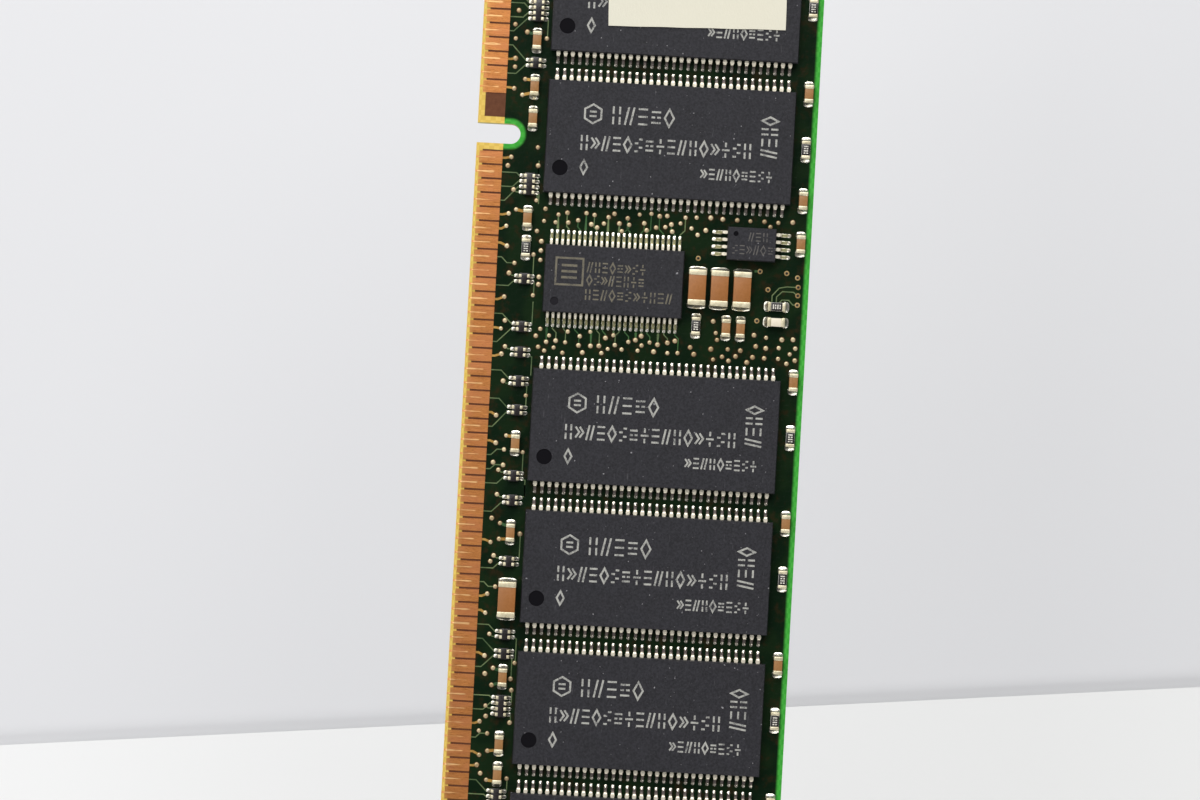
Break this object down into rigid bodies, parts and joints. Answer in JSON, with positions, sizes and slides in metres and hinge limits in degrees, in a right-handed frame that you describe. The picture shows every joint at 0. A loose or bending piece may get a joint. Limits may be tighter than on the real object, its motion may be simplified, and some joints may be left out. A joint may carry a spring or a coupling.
{
  "type": "ram module",
  "caption": "Double-sided registered memory module: a long circuit board with gold edge contacts, rows of leaded memory packages, a clock driver, chip parts and a blank label.",
  "frame": {"origin": "centre of the board outline, on the plane of the underside memory packages' faces, which the module rests on", "axes": "+X along the module's length, +Y from the contact edge to the top edge, +Z out of the top face"},
  "size_m": [0.1334, 0.0304, 0.0036],
  "materials": {
    "solder_mask_board": "satin green solder mask over glass-epoxy laminate",
    "gold_contacts": "hard gold plating with fine insertion wear",
    "package_epoxy": "fine matte moulded epoxy",
    "tinned_leads": "tin plated, satin",
    "solder_tin": "reflowed tin solder",
    "silicon": "polished silicon",
    "capacitor_ceramic": "tan fired ceramic",
    "resistor_ceramic": "white ceramic under a dark glass overcoat",
    "label_paper": "cream label paper, blank"
  },
  "bodies": {
    "root": {"circuit_board": "solder_mask_board", "contact_fingers_top": "gold_contacts", "contact_fingers_bottom": "gold_contacts", "dram_top_1": "package_epoxy", "dram_top_1_leads": "tinned_leads", "dram_top_2": "package_epoxy", "dram_top_2_leads": "tinned_leads", "dram_top_3": "package_epoxy", "dram_top_3_leads": "tinned_leads", "dram_top_4": "package_epoxy", "dram_top_4_leads": "tinned_leads", "dram_top_5": "package_epoxy", "dram_top_5_leads": "tinned_leads", "dram_top_6": "package_epoxy", "dram_top_6_leads": "tinned_leads", "dram_top_7": "package_epoxy", "dram_top_7_leads": "tinned_leads", "dram_top_8": "package_epoxy", "dram_top_8_leads": "tinned_leads", "dram_top_9": "package_epoxy", "dram_top_9_leads": "tinned_leads", "dram_bottom_1": "package_epoxy", "dram_bottom_1_leads": "tinned_leads", "dram_bottom_2": "package_epoxy", "dram_bottom_2_leads": "tinned_leads", "dram_bottom_3": "package_epoxy", "dram_bottom_3_leads": "tinned_leads", "dram_bottom_4": "package_epoxy", "dram_bottom_4_leads": "tinned_leads", "dram_bottom_5": "package_epoxy", "dram_bottom_5_leads": "tinned_leads", "dram_bottom_6": "package_epoxy", "dram_bottom_6_leads": "tinned_leads", "dram_bottom_7": "package_epoxy", "dram_bottom_7_leads": "tinned_leads", "dram_bottom_8": "package_epoxy", "dram_bottom_8_leads": "tinned_leads", "dram_bottom_9": "package_epoxy", "dram_bottom_9_leads": "tinned_leads", "clock_driver": "package_epoxy", "clock_driver_leads": "tinned_leads", "register_1": "package_epoxy", "register_1_leads": "tinned_leads", "register_2": "package_epoxy", "register_2_leads": "tinned_leads", "spd_eeprom": "package_epoxy", "spd_eeprom_leads": "tinned_leads", "dram_dies": "silicon", "logic_dies": "silicon", "capacitors_0603": "capacitor_ceramic", "capacitors_1206": "capacitor_ceramic", "capacitor_0603_terminals": "solder_tin", "capacitor_1206_terminals": "solder_tin", "resistors_0603": "resistor_ceramic", "resistor_0603_terminals": "solder_tin", "resistor_arrays_quad": "resistor_ceramic", "resistor_arrays_pair": "resistor_ceramic", "array_terminals": "solder_tin", "label": "label_paper"}
  },
  "joints": []
}
